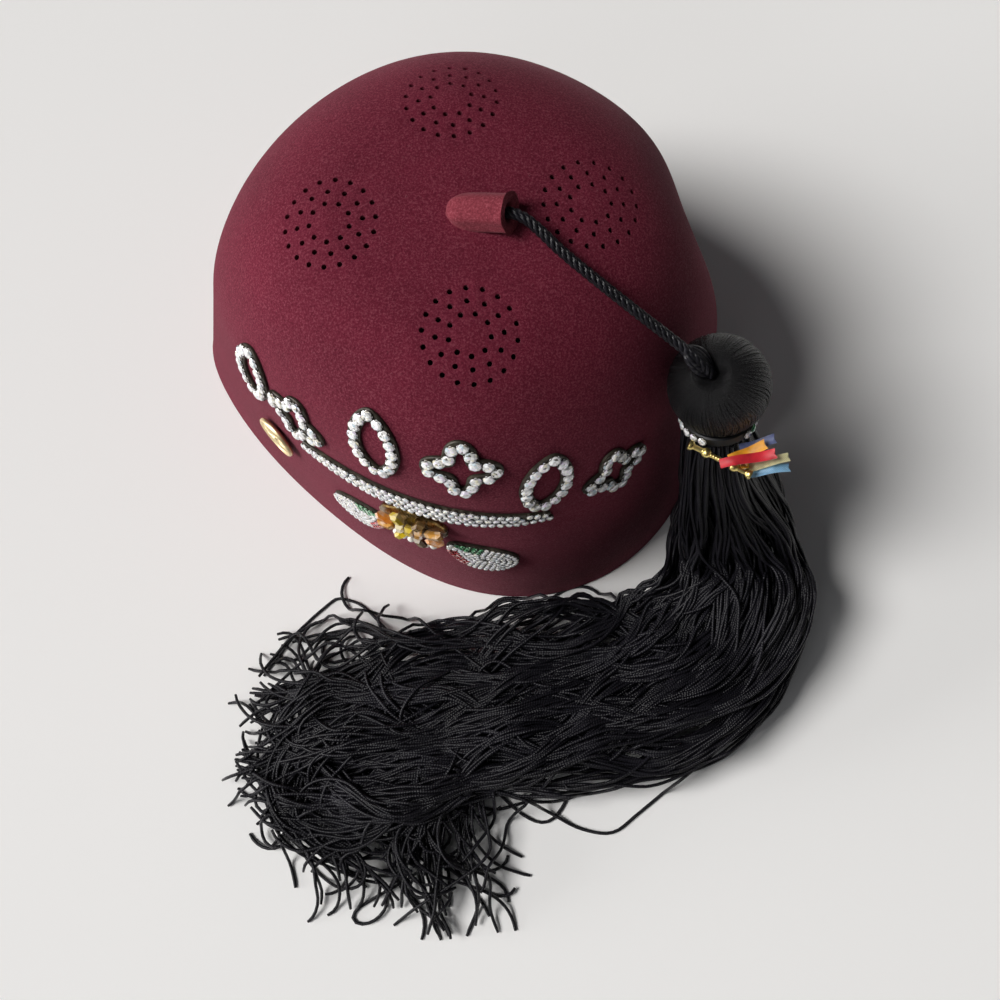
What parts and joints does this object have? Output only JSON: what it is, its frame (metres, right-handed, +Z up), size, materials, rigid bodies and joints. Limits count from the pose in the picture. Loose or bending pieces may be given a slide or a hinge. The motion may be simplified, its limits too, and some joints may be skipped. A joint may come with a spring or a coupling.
{
  "type": "fez hat",
  "caption": "Soft maroon felt fez with punched vents, paved stone ornaments, a brooch and a button, and a long black strand tassel on a twisted cord.",
  "frame": {"origin": "on the surface that the rim rests on, under the middle of the hat's own box, tassel left out", "axes": "+Z up through the crown, -Y to the hat's front with the brooch, +X to the side where the tassel hangs"},
  "size_m": [0.2296, 0.318, 0.1605],
  "materials": {
    "felt": "matt maroon wool felt with a short nap",
    "stem_felt": "matt felt, a shade lighter and rosier",
    "silk_cord": "black twisted cord with a soft sheen",
    "wound_silk": "black silk threads wound side by side, glossy along the thread",
    "silk_strands": "loose black twisted strands with a soft sheen",
    "crystal": "clear cut stones with a rainbow coating in dark settings, with green and red accents",
    "amber_glass": "clear amber, yellow, orange and brown long-cut stones",
    "pearl": "pale pearls with a soft lustre",
    "gilt": "polished gilt metal, a little worn",
    "ribbon_red": "plain red satin ribbon",
    "ribbon_gold": "plain golden yellow satin ribbon",
    "ribbon_slate": "plain slate blue satin ribbon",
    "ribbon_cream": "plain cream satin ribbon",
    "ribbon_sky": "plain sky blue satin ribbon"
  },
  "bodies": {
    "root": {"crown": "felt", "crown_stem": "stem_felt", "motif_1": "crystal", "motif_2": "crystal", "motif_3": "crystal", "motif_4": "crystal", "motif_5": "crystal", "motif_6": "crystal", "garland": "crystal", "petal_left": "crystal", "petal_right": "crystal", "rosette_base": "gilt", "baguette_1": "amber_glass", "baguette_2": "amber_glass", "baguette_3": "amber_glass", "baguette_4": "amber_glass", "baguette_5": "amber_glass", "baguette_6": "amber_glass", "baguette_7": "amber_glass", "baguette_8": "amber_glass", "baguette_9": "amber_glass", "baguette_10": "amber_glass", "baguette_11": "amber_glass", "pearl_row": "pearl", "gold_button": "gilt", "tassel_cord": "silk_cord", "tassel_head": "wound_silk", "tassel_collar": "crystal", "tassel_skirt": "silk_strands", "pin_bar": "gilt", "ribbon_1": "ribbon_red", "ribbon_2": "ribbon_gold", "ribbon_3": "ribbon_slate", "ribbon_4": "ribbon_cream", "ribbon_5": "ribbon_sky"}
  },
  "joints": []
}
